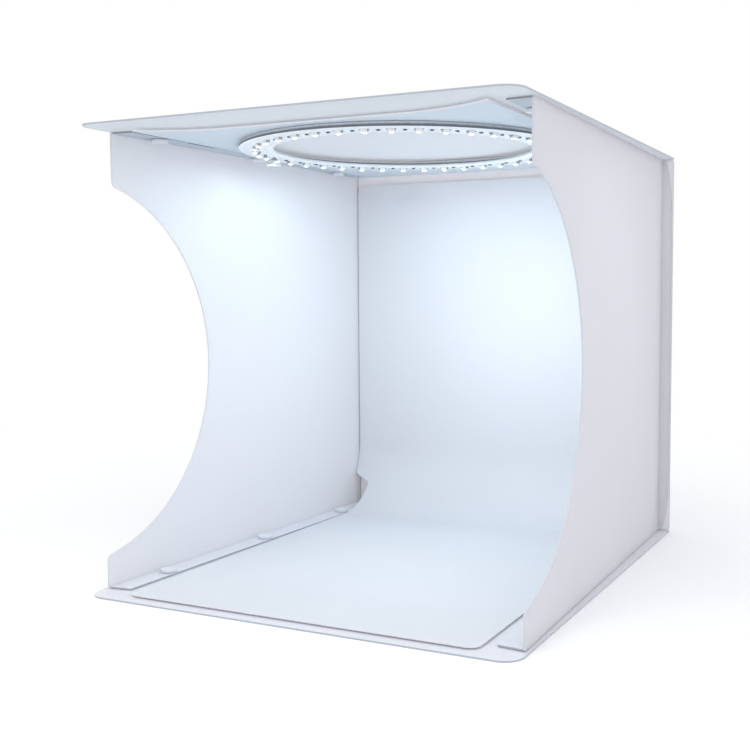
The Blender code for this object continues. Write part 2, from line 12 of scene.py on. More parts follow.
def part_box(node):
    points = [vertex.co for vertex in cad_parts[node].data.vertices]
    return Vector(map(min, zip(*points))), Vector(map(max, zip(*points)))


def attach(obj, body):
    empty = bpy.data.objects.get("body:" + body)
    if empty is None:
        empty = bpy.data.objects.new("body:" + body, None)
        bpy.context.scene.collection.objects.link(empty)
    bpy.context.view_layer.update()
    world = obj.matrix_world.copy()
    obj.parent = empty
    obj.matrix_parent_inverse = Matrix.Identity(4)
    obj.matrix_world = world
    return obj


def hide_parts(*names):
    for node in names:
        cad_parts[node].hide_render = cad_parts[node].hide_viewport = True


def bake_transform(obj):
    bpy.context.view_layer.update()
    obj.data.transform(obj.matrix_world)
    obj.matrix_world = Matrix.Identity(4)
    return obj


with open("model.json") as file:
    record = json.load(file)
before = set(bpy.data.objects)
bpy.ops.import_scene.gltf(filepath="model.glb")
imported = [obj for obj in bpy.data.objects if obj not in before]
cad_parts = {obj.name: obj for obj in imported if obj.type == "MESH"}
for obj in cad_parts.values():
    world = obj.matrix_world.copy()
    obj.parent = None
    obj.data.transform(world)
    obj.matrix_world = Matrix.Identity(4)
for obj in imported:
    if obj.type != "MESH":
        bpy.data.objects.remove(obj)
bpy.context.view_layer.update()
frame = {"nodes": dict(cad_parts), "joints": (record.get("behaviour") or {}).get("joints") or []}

bl_info = {
    "name": "Light tent",
    "version": (1, 0, 0),
    "blender": (4, 5, 0),
    "location": "3D View > Sidebar > Light tent",
    "description": "Builds the finishes and the finer pieces of a folding light tent with a ring light",
    "category": "Object",
}

SIDES = (("left", -1), ("right", 1))
LEVELS = (("top", 1), ("bottom", -1))
NUMBERS = (1, 2, 3)

# All lengths are in metres.
NEAR = 0.0002  # a point this close to its place is picked
DOUBLED = 0.000001  # points closer than this are one
FILM_CUTS = 7  # cuts across a crease film
SWEEP_STEPS = 36  # faces round the backdrop's curve
RING_FACES = 192  # faces round the ring board

# Copper under the board's solder mask. Tracks: how far past the lamps' circle, and half their width.
TRACKS = ((0.0052, 0.0012), (-0.0060, 0.0010))
TRACK_SOFT = 0.0002
# Lands: half their length across the ring, and their middle, half width and softness in lamp steps.
LAND_HALF, LAND_STEP = 0.0030, (0.25, 0.17, 0.02)

# A lamp's well: its radii as shares of the lamp's breadth, and the height and rise of the cone that cuts it.
WELL_MOUTH, WELL_FLOOR, WELL_CUT, WELL_RISE = 0.43, 0.34, 0.0009, 0.00035
# The filling in it: its radius as a share of the lamp's breadth, how flat the ball is, and its rise.
LENS_RADIUS, LENS_FLATNESS, LENS_RISE = 0.42, 0.34, 0.00012

# Small soldered parts: their size across the ring, along it and upwards.
LEG = (0.0021, 0.0002, 0.0010)
BEAD = (0.0023, 0.0007, 0.00036)
BEAD_OUT = 0.00045  # from the lamp's end to the bead's middle
BEAD_ROUND = 0.0003  # radius of its outer edge
RESISTOR = (0.0013, 0.0014, 0.00056)
CAP = (0.0013, 0.0003, 0.0006)
CAP_OUT = 0.00085  # from the resistor's middle to the cap's middle
RESISTOR_DROP = 0.0003  # from the board's underside to the resistor's middle

# The inlet: thickness of its wall and depth of its recess.
INLET_WALL, INLET_RECESS = 0.0007, 0.0043
# A magnet's cup: faces round it, width of its rim, thickness of its floor, and the shallow dish in its back.
CUP_FACES, CUP_RIM, CUP_FLOOR = 40, 0.0010, 0.0004
DISH_IN, DISH_DEPTH = 0.0012, 0.00008

# The light that the lamps give: how many small panels, their power in watts, size, and drop below the lamps.
RING_GLOWS, RING_GLOW_POWER, RING_GLOW_SIZE, RING_GLOW_DROP = 13, 0.0100, 0.012, 0.0012
# What the walls scatter inside the tent: place, power and radius of one soft light.
TENT_GLOW_PLACE, TENT_GLOW_POWER, TENT_GLOW_RADIUS = (0.020, 0.036, 0.145), 0.24, 0.07

# The camera, fitted to the tent's corners in the photograph: pixels, radians and metres.
PHOTO_SIDE = 750
FOCAL, CENTRE = 1058.85, (435.0, 368.03)
YAW, PITCH, ROLL = 0.44821, -0.07192, -0.00315
EYE = (0.27897, -0.54755, 0.15798)
SENSOR = 36  # millimetres

# The studio: each lamp's place, size, power and colour, where they point, the even light, the floor's size
# and the distances between which it fades to white.
LAMPS = (
    ("key_lamp", (-0.5, -1.1, 1.9), 1.8, 7, (1.0, 1.0, 1.0)),
    ("fill_lamp", (1.3, -0.7, 1.3), 1.4, 4, (0.98, 0.98, 1.0)),
)
AIM = (0, 0, 0.1)
SKY, SKY_STRENGTH = (0.97, 0.98, 1), 0.93
FLOOR_SIZE, FLOOR_FADE = 5, (0.35, 0.8)

THROUGH = (0.98, 0.96, 0.96)  # colour of the light that comes through the sheets


def middle_of(node):
    """Middle of a CAD node's box."""
    return sum(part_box(node), Vector()) / 2


def high(node):
    """Highest corner of a CAD node's box."""
    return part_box(node)[1]


def shade(red, green, blue):
    """A colour from its screen values, 0 to 255, as Blender keeps it."""
    parts = (red / 255, green / 255, blue / 255)
    return tuple(((part + 0.055) / 1.055) ** 2.4 if part > 0.04045 else part / 12.92 for part in parts)


def tinted(base, share, lift=0.0):
    """A colour made darker or lighter by a share, and lifted."""
    return tuple(min(1, part * share + lift) for part in base)


def colour(name, description, red, green, blue):
    """A colour that a user may change."""
    tint = shade(red, green, blue)
    return FloatVectorProperty(
        name=name, description=description, default=tint, subtype="COLOR", size=3, min=0, max=1
    )


def length(name, description, default):
    """A size that a user may change."""
    return FloatProperty(
        name=name, description=description, default=default, min=0, unit="LENGTH", subtype="DISTANCE"
    )


class LightTentSizes(bpy.types.PropertyGroup):
    """Sizes of the finer pieces"""

    sheet: length("Sheet", "Thickness of the plastic sheet", high("base_sheet").z)
    gap: length("Gap", "Clearance between the sheets at a crease", 0.0003)
    film: length("Crease film", "Thickness of the thinned sheet in a crease", 0.0004)
    drop_thickness: length("Backdrop", "Thickness of the backdrop sheet", 0.0005)
    drop_curve: length("Backdrop curve", "Radius of the backdrop's sweep", 0.045)
    drop_corner: length("Backdrop corner", "Radius of the backdrop's corners", 0.006)
    drop_narrow: length("Backdrop floor", "Half width of the backdrop between the flaps", 0.0986)
    shoulder_height: length("Shoulder height", "Height at which the backdrop starts to widen", 0.0175)
    shoulder_rise: length("Shoulder rise", "Length over which the backdrop widens", 0.009)
    ring_width: length("Ring width", "Width of the ring board", 0.0189)
    ring_board: length("Ring board", "Thickness of the ring board", 0.0012)
    lamp_circle: length("Lamp circle", "Radius of the circle of lamps", high("ring_board").x - 0.0085)
    lamp_length: length("Lamp length", "Length of a lamp along the ring", 0.0035)
    lamp_breadth: length("Lamp breadth", "Breadth of a lamp across the ring", 0.0028)
    lamp_height: length("Lamp height", "Height of a lamp's housing", 0.0018)
    lamp_count: IntProperty(name="Lamps", description="Number of lamps on the ring", default=39, min=3)
    resistor_in: length("Resistor inset", "How far the resistors sit inside the lamps", 0.0018)


class LightTentColours(bpy.types.PropertyGroup):
    """Colours of the finishes"""

    sheet: colour("Sheet", "Frosted plastic sheet", 222, 221, 227)
    # Painted light: a lighter copy of the sheet's colour, standing for the light inside the tent on the faces
    # that look into it.
    inner: colour("Inner face", "Back sheet, flanges and inner faces of the side sheets", 236, 237, 242)
    # Painted shade: the same sheet painted darker and bluer, for the shade under the roof in the lamps'
    # bluish light.
    roof: colour("Roof", "Frosted sheet of the roof and what hangs under it", 198, 210, 219)
    # Painted shade: the sheets' cut edges are painted this darker colour, for the shade along their edges and
    # seams.
    edge: colour("Cut edge", "Cut edge of the sheet", 176, 182, 192)
    drop: colour("Backdrop", "Smooth white backdrop", 239, 241, 246)
    board: colour("Ring board", "White solder mask", 236, 241, 245)
    trace: colour("Trace", "Copper under the solder mask", 214, 221, 226)
    substrate: colour("Board edge", "Bare outer edge of the ring board", 112, 117, 124)
    housing: colour("Lamp housing", "White moulding of a lamp", 236, 240, 242)
    phosphor: colour("Phosphor", "Filling of a lamp", 248, 252, 240)
    glow: colour("Glow", "Light of the lamps", 222, 252, 255)
    solder: colour("Solder", "Tinned metal", 176, 180, 186)
    resistor: colour("Resistor", "Coated body of a resistor", 58, 62, 72)
    cup: colour("Cup", "Moulded cup over a magnet", 222, 224, 231)
    foam: colour("Foam", "Pale foam tape", 216, 220, 226)


class Value:
    """A number, colour or vector among the nodes. Arithmetic on a number adds Math nodes."""

    def __init__(self, nodes, socket):
        self.nodes = nodes
        self.socket = socket

    def math(self, operation, *values):
        return self.nodes.node("ShaderNodeMath", {"operation": operation}, dict(enumerate(values)))

    def __add__(self, other):
        return self.math("ADD", self, other)

    def __radd__(self, other):
        return self.math("ADD", other, self)

    def __sub__(self, other):
        return self.math("SUBTRACT", self, other)

    def __rsub__(self, other):
        return self.math("SUBTRACT", other, self)

    def __mul__(self, other):
        return self.math("MULTIPLY", self, other)

    def __rmul__(self, other):
        return self.math("MULTIPLY", other, self)

    def __truediv__(self, other):
        return self.math("DIVIDE", self, other)

    def __neg__(self):
        return self.math("MULTIPLY", self, -1)

    def __pow__(self, other):
        return self.math("POWER", self, other)

    def __abs__(self):
        return self.math("ABSOLUTE", self)

    def most(self, other):
        """The larger of two numbers."""
        return self.math("MAXIMUM", self, other)

    def above(self, edge):
        """1 above an edge and 0 below it."""
        return self.math("GREATER_THAN", self, edge)

    def fraction(self):
        """What is left past the whole number."""
        return self.math("FRACT", self)

    def ramp(self, start, end):
        """0 at start, 1 at end, smooth between and level beyond."""
        inputs = {"Value": self, "From Min": start, "From Max": end}
        return self.nodes.node("ShaderNodeMapRange", {"interpolation_type": "SMOOTHSTEP"}, inputs)


class Nodes:
    """The nodes of a material or a world."""

    def __init__(self, owner):
        owner.use_nodes = True
        self.tree = owner.node_tree
        self.tree.nodes.clear()

    def node(self, kind, settings=None, inputs=None, output=0):
        """Adds a node: its settings first, then the values or links of its inputs.

        Gives one of its outputs, or the node itself where output is None.
        """
        made = self.tree.nodes.new(kind)
        for name, value in (settings or {}).items():
            setattr(made, name, value)
        for name, value in (inputs or {}).items():
            self.feed(made.inputs[name], value)
        return made if output is None else Value(self, made.outputs[output])

    def feed(self, socket, value):
        """Links a value to an input, or sets it there."""
        if isinstance(value, Value):
            self.tree.links.new(value.socket, socket)
        elif socket.type == "RGBA":
            socket.default_value = (*value, 1)
        else:
            socket.default_value = value

    def mixed(self, share, first, second):
        """Mixes two shaders: all of the first at 0, all of the second at 1."""
        return self.node("ShaderNodeMixShader", {}, {0: share, 1: first, 2: second})


class Finish(Nodes):
    """A material in the making, with its Principled shader."""

    def __init__(self, name):
        self.material = bpy.data.materials.new(name)
        super().__init__(self.material)
        self.shader = self.node("ShaderNodeBsdfPrincipled", output=None)
        own = Value(self, self.shader.outputs[0])
        self.output = self.node("ShaderNodeOutputMaterial", {}, {"Surface": own}, None)
        coordinates = self.node("ShaderNodeTexCoord", output=None).outputs
        self.place = Value(self, coordinates["Object"])
        self.facing = Value(self, coordinates["Normal"])

    def set(self, **inputs):
        """Sets or links inputs of the Principled shader."""
        for name, value in inputs.items():
            self.feed(self.shader.inputs[name.replace("_", " ")], value)

    def mix_shader(self, share, kind, **inputs):
        """Mixes a share of another shader into the surface."""
        own = Value(self, self.shader.outputs[0])
        self.feed(self.output.inputs["Surface"], self.mixed(share, own, self.node(kind, {}, inputs)))

    def axes(self, vector):
        """The three numbers of a vector."""
        parts = self.node("ShaderNodeSeparateXYZ", {}, {"Vector": vector}, None).outputs
        return [Value(self, part) for part in parts]

    def mix(self, share, first, second):
        """Mixes two colours: all of the first at 0, all of the second at 1."""
        return self.node("ShaderNodeMix", {"data_type": "RGBA"}, {0: share, 6: first, 7: second}, 2)

    def stretched(self, x, y, z):
        """Object coordinates stretched by a number along each axis."""
        return self.node("ShaderNodeVectorMath", {"operation": "MULTIPLY"}, {0: self.place, 1: (x, y, z)})

    def noise(self, scale, detail, roughness=0.5, vector=None):
        """Cloudy noise from 0 to 1, of about scale blots to the metre."""
        inputs = {"Vector": vector or self.place, "Scale": scale, "Detail": detail, "Roughness": roughness}
        return self.node("ShaderNodeTexNoise", {}, inputs)

    def cells(self, scale):
        """Distance to the nearest point of a random scatter, scale of them to the metre."""
        return self.node("ShaderNodeTexVoronoi", {"feature": "F1"}, {"Vector": self.place, "Scale": scale})

    def bump(self, height, distance, strength):
        """Roughens the surface by a height from 0 to 1, distance metres deep."""
        inputs = {"Height": height, "Distance": distance, "Strength": strength}
        self.set(Normal=self.node("ShaderNodeBump", {}, inputs))


def edge_mask(finish, axis):
    """1 on the cut edges of a sheet whose faces look along an axis, 0 on its faces."""
    return 1 - abs(finish.axes(finish.facing)[axis]).ramp(0.3, 0.7)


def sheet_finish(name, axis, base, edge, through, painted_edge_share=1.0, inner=None):
    """Frosted polypropylene: it lets light through and has a fine grain and handling marks, and its cut edges
    are painted darker as shade.

    The sheet's faces look along axis. Inner is the colour of those that look towards the tent's middle,
    painted lighter there as the light inside the tent.
    """
    finish = Finish(name)
    finish.set(Specular_IOR_Level=0.35)
    cloud = finish.noise(scale=14, detail=3)
    grain = finish.noise(scale=2600, detail=2, roughness=0.6)
    fibres = finish.noise(scale=700, detail=3, roughness=0.6)
    scuffs = finish.noise(scale=90, detail=6, roughness=0.75, vector=finish.stretched(1, 0.25, 1))
    scuffs = scuffs.ramp(0.66, 0.74)
    tint = finish.mix(cloud.ramp(0.3, 0.7), tinted(base, 0.975), base)
    tint = finish.mix(fibres.ramp(0.55, 0.9) * 0.25, tint, tinted(base, 1.05))
    tint = finish.mix(scuffs * 0.18, tint, tinted(base, 0.93))
    edges = edge_mask(finish, axis)
    # Painted light: faces that look into the tent take the lighter inner colour.
    if inner:
        facing_in = finish.axes(finish.facing)[axis] * finish.axes(finish.place)[axis]
        tint = finish.mix((-facing_in).above(0), tint, inner)
    # Painted shade and light: the cut edges take the edge colour, by a share. It is darker than the sheet,
    # and lighter on the light board.
    finish.set(Base_Color=finish.mix(edges * painted_edge_share, tint, edge))
    finish.set(Roughness=0.40 + 0.10 * cloud + 0.10 * scuffs + 0.10 * grain)
    finish.bump(grain * 0.7 + fibres * 0.3, distance=0.00006, strength=0.35)
    if through:
        finish.mix_shader((1 - edges) * through, "ShaderNodeBsdfTranslucent", Color=THROUGH)
    return finish.material


def backdrop_finish(colours):
    """Smooth matt white sheet with a fine leathery press and faint clouds, which lets some light through."""
    finish = Finish("backdrop_white")
    finish.set(Specular_IOR_Level=0.3)
    cloud = finish.noise(scale=9, detail=2)
    tint = finish.mix(cloud.ramp(0.35, 0.7), tinted(colours.drop, 0.98), colours.drop)
    finish.set(Base_Color=tint, Roughness=0.52 + 0.10 * cloud)
    finish.bump(finish.cells(scale=900), distance=0.00004, strength=0.25)
    finish.mix_shader(share=0.3, kind="ShaderNodeBsdfTranslucent", Color=THROUGH)
    return finish.material


def polar(finish):
    """Radius and angle round the ring's middle, in metres and turns."""
    inputs = {"Vector": finish.place, "Location": -middle_of("ring_board")}
    centred = finish.node("ShaderNodeMapping", {}, inputs)
    x, y, _ = finish.axes(centred)
    return (x * x + y * y) ** 0.5, y.math("ARCTAN2", y, x) / (2 * pi)


def band(value, middle, half, soft):
    """1 within half of the middle, falling to 0 over soft beyond it."""
    return 1 - abs(value - middle).ramp(half, half + soft)


def board_finish(sizes, colours):
    """White solder mask over copper tracks and lands, with a bare rim that is dark on the outside."""
    finish = Finish("board_white")
    radius, turn = polar(finish)
    step = (turn * sizes.lamp_count).fraction()
    outer, inner = (band(radius, sizes.lamp_circle + past, half, TRACK_SOFT) for past, half in TRACKS)
    lands = band(radius, sizes.lamp_circle, LAND_HALF, TRACK_SOFT) * band(step, *LAND_STEP)
    copper = outer.most(inner).most(lands)
    dust = finish.noise(scale=1800, detail=3)
    mask = finish.mix(copper * 0.55, colours.board, colours.trace)
    mask = finish.mix(dust.ramp(0.6, 0.8) * 0.15, mask, tinted(colours.board, 0.9))
    rim = edge_mask(finish, 2)
    bare = finish.mix(rim * radius.above(sizes.lamp_circle), colours.trace, colours.substrate)
    finish.set(Base_Color=finish.mix(rim, mask, bare), Roughness=0.30 + 0.25 * rim + 0.08 * dust)
    finish.bump(copper + 0.15 * dust, distance=0.00004, strength=0.6)
    return finish.material


def housing_finish(colours):
    """White heat-proof moulding of the lamps."""
    finish = Finish("lamp_housing")
    speckle = finish.noise(scale=4000, detail=2)
    tint = finish.mix(speckle.ramp(0.5, 0.8) * 0.3, colours.housing, tinted(colours.housing, 0.93))
    finish.set(Base_Color=tint, Roughness=0.42 + 0.1 * speckle)
    finish.bump(speckle, distance=0.00003, strength=0.3)
    return finish.material


def phosphor_finish(colours):
    """Filling of a lit lamp, with a grain in its glow."""
    finish = Finish("lamp_phosphor")
    grain = finish.noise(scale=5000, detail=2)
    finish.set(Base_Color=colours.phosphor, Roughness=0.25 + 0.1 * grain)
    tint = finish.mix(grain.ramp(0.3, 0.7), colours.glow, (1, 1, 1))
    finish.set(Emission_Color=tint, Emission_Strength=6.0)
    return finish.material


def metal_finish(name, base, roughness, streaks):
    """Plated metal with a dull cloud and fine scratches, drawn out by a number along each axis."""
    finish = Finish(name)
    finish.set(Metallic=1.0)
    cloud = finish.noise(scale=500, detail=3)
    lines = finish.noise(scale=900, detail=4, roughness=0.7, vector=finish.stretched(*streaks))
    tint = finish.mix(cloud.ramp(0.3, 0.7), tinted(base, 0.88), base)
    finish.set(Base_Color=tint, Roughness=roughness + 0.12 * lines + 0.06 * cloud)
    finish.bump(lines, distance=0.00002, strength=0.3)
    return finish.material


def moulded_finish(name, base, roughness):
    """Moulded plastic with a fine spark texture."""
    finish = Finish(name)
    spark = finish.noise(scale=3500, detail=2)
    tint = finish.mix(spark.ramp(0.4, 0.8) * 0.3, base, tinted(base, 1.25, 0.004))
    finish.set(Base_Color=tint, Roughness=roughness + 0.12 * spark)
    finish.bump(spark, distance=0.00003, strength=0.4)
    return finish.material


def foam_finish(colours):
    """Pale closed-cell foam with small open cells at its cut face, which are painted darker as shade in their
    hollows.
    """
    finish = Finish("foam_pale")
    cells = finish.cells(scale=1500)
    # Painted shade: the open cells are painted darker, for the shade in their hollows.
    tint = finish.mix(cells.ramp(0.0, 0.5), tinted(colours.foam, 0.5), colours.foam)
    finish.set(Base_Color=tint, Roughness=0.9)
    finish.bump(cells, distance=0.0002, strength=0.8)
    return finish.material


def woven_finish(name, base, pitch):
    """Short loops of a hook-and-loop pad, or the paper grain of adhesive tape."""
    finish = Finish(name)
    loops = finish.cells(scale=1 / pitch)
    fluff = finish.noise(scale=1200, detail=4)
    tint = finish.mix(loops.ramp(0.1, 0.6), tinted(base, 0.82), base)
    finish.set(Base_Color=tint, Roughness=0.80 + 0.15 * fluff)
    finish.bump(loops + 0.5 * fluff, distance=pitch * 0.3, strength=0.8)
    return finish.material


def ceramic_finish(colours):
    """Dark coated body of a resistor."""
    finish = Finish("resistor_dark")
    speckle = finish.noise(scale=6000, detail=2)
    tint = finish.mix(speckle.ramp(0.4, 0.8) * 0.4, colours.resistor, tinted(colours.resistor, 1.6))
    finish.set(Base_Color=tint, Roughness=0.35 + 0.15 * speckle)
    finish.bump(speckle, distance=0.00002, strength=0.3)
    return finish.material


def cover(material, *nodes):
    """Gives CAD nodes their material."""
    for node in nodes:
        data = frame["nodes"][node].data
        data.materials.clear()
        data.materials.append(material)


def lone(obj=None):
    """Leaves edit mode and deselects everything but one object, if any, which becomes the active one."""
    if bpy.context.mode != "OBJECT":
        bpy.ops.object.mode_set(mode="OBJECT")
    bpy.ops.object.select_all(action="DESELECT")
    if obj:
        obj.select_set(True)
        bpy.context.view_layer.objects.active = obj


@contextmanager
def shaping(obj):
    """Edit mode on one object, as long as the block lasts."""
    lone(obj)
    bpy.ops.object.mode_set(mode="EDIT")
    bpy.ops.mesh.select_mode(type="FACE")
    yield
    bpy.ops.object.mode_set(mode="OBJECT")


def pick(obj, wanted, kind="FACE"):
    """Selects only the faces, edges or points that a test on their middle and their normal or way wants."""
    bpy.ops.mesh.select_mode(type=kind)
    bpy.ops.mesh.select_all(action="DESELECT")
    shape = bmesh.from_edit_mesh(obj.data)
    count = 0
    for item in {"FACE": shape.faces, "EDGE": shape.edges, "VERT": shape.verts}[kind]:
        if kind == "FACE":
            middle, normal = item.calc_center_median(), item.normal
        elif kind == "EDGE":
            first, last = (point.co for point in item.verts)
            middle, normal = (first + last) / 2, last - first
        else:
            middle, normal = item.co, item.normal
        if wanted(middle, normal):
            item.select_set(True)
            count += 1
    shape.select_flush_mode()
    bmesh.update_edit_mesh(obj.data)
    if not count:
        raise RuntimeError(f"nothing to shape was found on {obj.name}")


def extrude(move):
    """Extrudes what is selected and moves it."""
    bpy.ops.mesh.extrude_region_move(TRANSFORM_OT_translate={"value": move})


def named(name):
    """Names the object just added."""
    obj = bpy.context.active_object
    obj.name = name
    obj.data.name = name
    return obj


def settle(obj):
    """Writes the object's place, turn and size into its mesh."""
    lone(obj)
    bpy.ops.object.transform_apply(location=True, rotation=True, scale=True)
    return obj


def modify(obj, kind, **settings):
    """Adds a modifier and applies it."""
    lone(obj)
    modifier = obj.modifiers.new(kind.lower(), kind)
    for name, value in settings.items():
        setattr(modifier, name, value)
    bpy.ops.object.modifier_apply(modifier=modifier.name)


def smooth(obj, angle):
    """Shades the faces as one surface except over edges sharper than an angle in degrees."""
    lone(obj)
    bpy.ops.object.shade_smooth_by_angle(angle=radians(angle))


def soften(obj, width, segments, angle):
    """Rounds the sharp edges, then smooths what is left of them."""
    modify(obj, "BEVEL", width=width, segments=segments, limit_method="ANGLE", angle_limit=radians(angle))
    smooth(obj, angle)


def outward(obj):
    """Merges doubled points and turns every face outwards."""
    with shaping(obj):
        bpy.ops.mesh.select_all(action="SELECT")
        bpy.ops.mesh.remove_doubles(threshold=DOUBLED)
        bpy.ops.mesh.normals_make_consistent(inside=False)


def copies(obj, places):
    """Copies an object to each place, with its own mesh, and deletes the first."""
    made = []
    for place in places:
        lone(obj)
        bpy.ops.object.duplicate(linked=False)
        twin = bpy.context.active_object
        twin.matrix_world = place @ obj.matrix_world
        made.append(settle(twin))
    bpy.data.objects.remove(obj)
    return made


def joined(objects, name):
    """Joins objects into one piece."""
    lone(objects[0])
    for obj in objects:
        obj.select_set(True)
    bpy.ops.object.join()
    return named(name)


def hand_over(obj, body, slot, material, *nodes):
    """Finishes a piece: its material, the body it rides on and the CAD nodes it stands for. The slot is not
    used.
    """
    settle(obj)
    obj.data.materials.clear()
    obj.data.materials.append(material)
    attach(obj, body)
    if nodes:
        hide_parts(*nodes)


def round_ring(shift, count):
    """Places round the ring from its middle, the first one at the back, turned on by a share of a step."""
    middle = middle_of("ring_board")
    centre = Matrix.Translation((middle.x, middle.y, 0))
    angles = (pi / 2 + 2 * pi * (number + shift) / count for number in range(count))
    return [centre @ Matrix.Rotation(angle, 4, "Z") for angle in angles]


def scaled(name, size):
    """Names the primitive just added and gives it its size."""
    obj = named(name)
    obj.scale = size
    return settle(obj)


def block(name, middle, size):
    """A box of a size at a place, for shaping further."""
    lone()
    bpy.ops.mesh.primitive_cube_add(size=1, location=middle)
    return scaled(name, size)


class TentOperator:
    """What the operators of the light tent share."""

    bl_options = {"REGISTER", "UNDO"}

    @property
    def sizes(self):
        """The sizes that a user may change."""
        return bpy.context.scene.light_tent_sizes

    @property
    def colours(self):
        """The colours that a user may change."""
        return bpy.context.scene.light_tent_colours


class LIGHTTENT_OT_sheets(TentOperator, bpy.types.Operator):
    """Finishes the creased sheets: floor, back, roof, sides, flanges and flaps"""

    bl_idname = "light_tent.sheets"
    bl_label = "Sheets"

    def execute(self, context):
        colours = self.colours
        # Painted shade: each sheet's cut edges take the darker edge colour.
        level = sheet_finish("sheet_level", 2, colours.sheet, colours.edge, through=0.0)
        # Painted shade: the roof and the window flap take the roof colour, painted darker and bluer than the
        # sheet.
        roof = sheet_finish("sheet_roof", 2, colours.roof, colours.edge, through=0.5)
        # Painted light: the light board is painted lighter than the roof, and its cut edges lighter still
        # with the inner colour.
        board = sheet_finish("sheet_board", 2, tinted(colours.roof, 1.32), colours.inner, through=0.4)
        # Painted light: the back sheet and the flanges take the lighter inner colour.
        upright_painted_light = sheet_finish("sheet_upright", 1, colours.inner, colours.edge, through=0.45)
        # Painted light and shade: the side sheets' inner faces are painted lighter, and their cut edges a
        # little darker.
        side_wall = sheet_finish("sheet_side", 0, colours.sheet, colours.edge, through=0.3, painted_edge_share=0.3,
                                 inner=colours.inner)
        # Painted shade: the top flaps take the roof's darker colour, and their cut edges a colour darker
        # still, for the shadow gap along them.
        flap = sheet_finish("sheet_flap", 2, colours.roof, tinted(colours.edge, 0.6), through=0.2)
        cover(level, "base_sheet", "left_bottom_flap", "right_bottom_flap")
        cover(roof, "top_sheet", "window_flap")
        cover(board, "light_board")
        cover(upright_painted_light, "back_sheet", "left_rear_flange", "right_rear_flange")
        cover(side_wall, "left_side_sheet", "right_side_sheet")
        cover(flap, "left_top_flap", "right_top_flap")
        return {"FINISHED"}


class LIGHTTENT_OT_creases(TentOperator, bpy.types.Operator):
    """Fills each crease with the thin film that the sheet folds on"""

    bl_idname = "light_tent.creases"
    bl_label = "Creases"

    def film(self, name, bodies, start, end, along, half, material):
        """A film that reaches across a crease from start to end, and half to each side along it."""
        across = end - start
        run = across + across.normalized() * NEAR * 4
        lone()
        bpy.ops.mesh.primitive_plane_add(size=1)
        strip = named(name)
        turn = Matrix((run, along * 2 * half, across.cross(along).normalized())).transposed().to_4x4()
        strip.matrix_world = Matrix.Translation((start + end) / 2) @ turn
        settle(strip)
        with shaping(strip):
            bpy.ops.mesh.select_all(action="SELECT")
            bpy.ops.mesh.subdivide(number_cuts=FILM_CUTS)
        modify(strip, "SOLIDIFY", thickness=self.sizes.film, offset=0)
        outward(strip)
        smooth(strip, 50)
        strip.data.materials.append(material)
        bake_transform(strip)

    def execute(self, context):
        material = moulded_finish("crease_film", self.colours.sheet, roughness=0.35)
        gap = self.sizes.gap
        along = Vector((1, 0, 0))
        back_low, back_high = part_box("back_sheet")
        roof_low, roof_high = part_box("top_sheet")
        y = (back_low.y + back_high.y) / 2
        wide = roof_high.x - 2 * gap
        self.film("floor_crease", ("floor", "back"),
                  Vector((0, y, self.sizes.sheet)), Vector((0, y, back_low.z)), along, wide, material)
        self.film("roof_crease", ("back", "roof"),
                  Vector((0, y, back_high.z)), Vector((0, y, roof_low.z)), along, wide, material)
        flap_low, flap_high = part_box("window_flap")
        radius, chord, _ = flap_high
        z = (flap_low.z + flap_high.z) / 2
        self.film("window_crease", ("roof", "window"),
                  Vector((0, chord + gap, z)), Vector((0, chord, z)),
                  along, (radius ** 2 - chord ** 2) ** 0.5 - 2 * gap, material)
        for side, way in SIDES:
            self.side_films(side, way, material)
        return {"FINISHED"}

    def side_films(self, side, way, material):
        """The crease between flange and side sheet, and those of the side sheet's two flaps."""
        sheet, gap = self.sizes.sheet, self.sizes.gap
        side_low, side_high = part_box(f"{side}_side_sheet")
        flange_low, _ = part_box(f"{side}_rear_flange")
        x = way * (min(abs(side_low.x), abs(side_high.x)) + sheet / 2)
        z = (side_high.z + side_low.z) / 2
        self.film(f"{side}_side_crease", ("back", f"{side}_side"),
                  Vector((x, flange_low.y, z)), Vector((x, side_high.y, z)),
                  Vector((0, 0, 1)), (side_high.z - side_low.z) / 2 - gap, material)
        for level, _ in LEVELS:
            joint = next(j for j in frame["joints"] if j["name"] == f"{side}_{level}_flap_fold")
            along = Vector(joint["axis"])
            along = along if along.y < 0 else -along
            across = Vector((-along.y, along.x, 0)) * -way
            flap_low, flap_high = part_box(f"{side}_{level}_flap")
            start = Vector(joint["pos_m"])
            start.z = (flap_low.z + flap_high.z) / 2
            centre = start + along * ((start.y - (flap_high.y + flap_low.y) / 2) / abs(along.y))
            self.film(f"{side}_{level}_crease", (f"{side}_side", f"{side}_{level}_flap_body"),
                      centre - across * gap / 2, centre + across * gap / 2,
                      along, (flap_high.y - flap_low.y) / 2 - gap, material)


